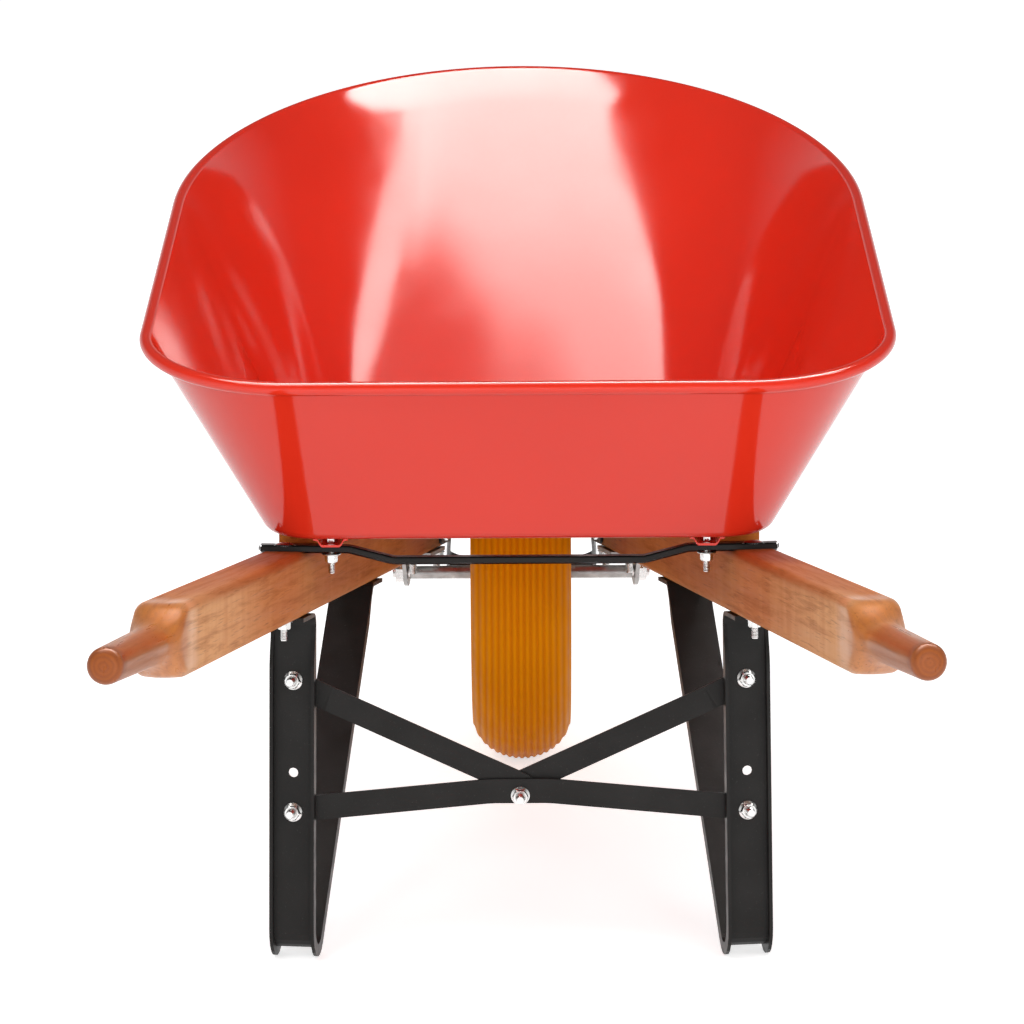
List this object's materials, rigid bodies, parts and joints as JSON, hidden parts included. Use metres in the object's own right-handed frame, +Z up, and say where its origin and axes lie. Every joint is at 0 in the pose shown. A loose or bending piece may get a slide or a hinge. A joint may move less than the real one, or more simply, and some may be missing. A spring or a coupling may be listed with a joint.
{
  "type": "wheelbarrow",
  "caption": "Contractor's wheelbarrow: pressed steel tray on two splayed wooden handles, with channel-strap legs, a flat-strap brace and one ribbed wheel.",
  "frame": {"origin": "middle of the bounding box's bottom face, on the ground between the legs and the wheel", "axes": "+Y forward along the handles towards the wheel, +Z up, +X to the user's right"},
  "size_m": [0.6426, 1.6756, 0.712],
  "materials": {
    "tray_enamel": "gloss red enamel",
    "black_paint": "satin black paint",
    "varnished_wood": "clear varnished hardwood",
    "zinc_plate": "bright zinc plate",
    "amber_rubber": "satin amber rubber",
    "plated_steel": "dull plated steel"
  },
  "bodies": {
    "frame": {"handle_left": "varnished_wood", "axle_bracket_left": "zinc_plate", "riser_left": "varnished_wood", "leg_left": "black_paint", "handle_right": "varnished_wood", "axle_bracket_right": "zinc_plate", "riser_right": "varnished_wood", "leg_right": "black_paint", "tray": "tray_enamel", "saddle_left": "tray_enamel", "front_brace_left": "black_paint", "rear_bolt_left": "zinc_plate", "tray_bolt_left": "zinc_plate", "bracket_bolt_left": "zinc_plate", "guard_bolt_left": "zinc_plate", "guard_arm_bolt_left": "zinc_plate", "leg_bolt_upper_left": "zinc_plate", "leg_bolt_lower_left": "zinc_plate", "saddle_bolt_left": "zinc_plate", "wall_bolt_left": "zinc_plate", "saddle_right": "tray_enamel", "front_brace_right": "black_paint", "rear_bolt_right": "zinc_plate", "tray_bolt_right": "zinc_plate", "bracket_bolt_right": "zinc_plate", "guard_bolt_right": "zinc_plate", "guard_arm_bolt_right": "zinc_plate", "leg_bolt_upper_right": "zinc_plate", "leg_bolt_lower_right": "zinc_plate", "saddle_bolt_right": "zinc_plate", "wall_bolt_right": "zinc_plate", "brace_diagonal_left": "black_paint", "brace_diagonal_right": "black_paint", "bracket_bar": "black_paint", "brace_tie_bar": "black_paint", "wheel_guard": "black_paint", "brace_bolt": "zinc_plate", "axle": "zinc_plate", "axle_nut_left": "zinc_plate", "axle_spacer_left": "zinc_plate", "axle_nut_right": "zinc_plate", "axle_spacer_right": "zinc_plate"},
    "wheel": {"tyre": "amber_rubber", "rim_left": "plated_steel", "rim_right": "plated_steel", "hub": "plated_steel", "bearing_left": "zinc_plate", "bearing_right": "zinc_plate", "rim_bolt_1": "zinc_plate", "rim_bolt_2": "zinc_plate", "rim_bolt_3": "zinc_plate", "rim_bolt_4": "zinc_plate"}
  },
  "joints": [
    {"name": "wheel_spin", "type": "hinge", "parent": "frame", "child": "wheel", "pos_m": [0, 0.61978, 0.1925], "axis": [1, 0, 0], "continuous": true}
  ]
}
